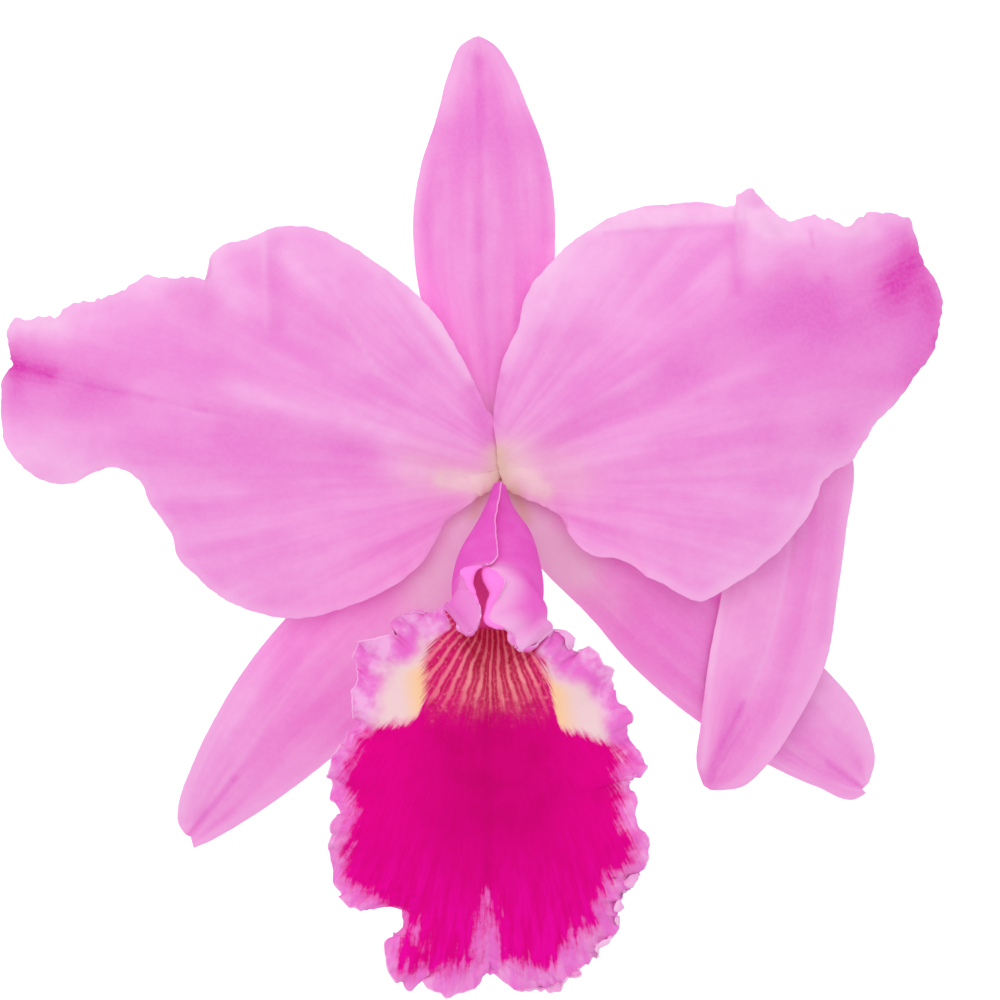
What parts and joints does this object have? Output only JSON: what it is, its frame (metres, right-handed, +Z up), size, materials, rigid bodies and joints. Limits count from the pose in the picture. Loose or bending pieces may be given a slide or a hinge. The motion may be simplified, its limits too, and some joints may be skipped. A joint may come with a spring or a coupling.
{
  "type": "cattleya orchid bloom",
  "caption": "Picked orchid bloom lying face up: sepals, broad petals, a ruffled crimson lip rolled round the column, and the ribbed ovary with its cut stalk.",
  "frame": {"origin": "on the surface that the bloom lies on, under the middle of its outline", "axes": "+Z up out of the bloom's face, +Y towards the tip of the dorsal sepal, +X to the right of someone looking down on the face"},
  "size_m": [0.1609, 0.1641, 0.0511],
  "materials": {
    "sepal": "satin",
    "petal": "satin",
    "lip": "satin",
    "column": "satin",
    "anther_cap": "satin",
    "stalk": "satin"
  },
  "bodies": {
    "root": {"dorsal_sepal": "sepal", "left_lateral_sepal": "sepal", "right_lateral_sepal": "sepal", "extra_sepal": "sepal", "left_petal": "petal", "right_petal": "petal", "lip": "lip", "column": "column", "anther_cap": "anther_cap", "ovary_and_stalk": "stalk"}
  },
  "joints": []
}
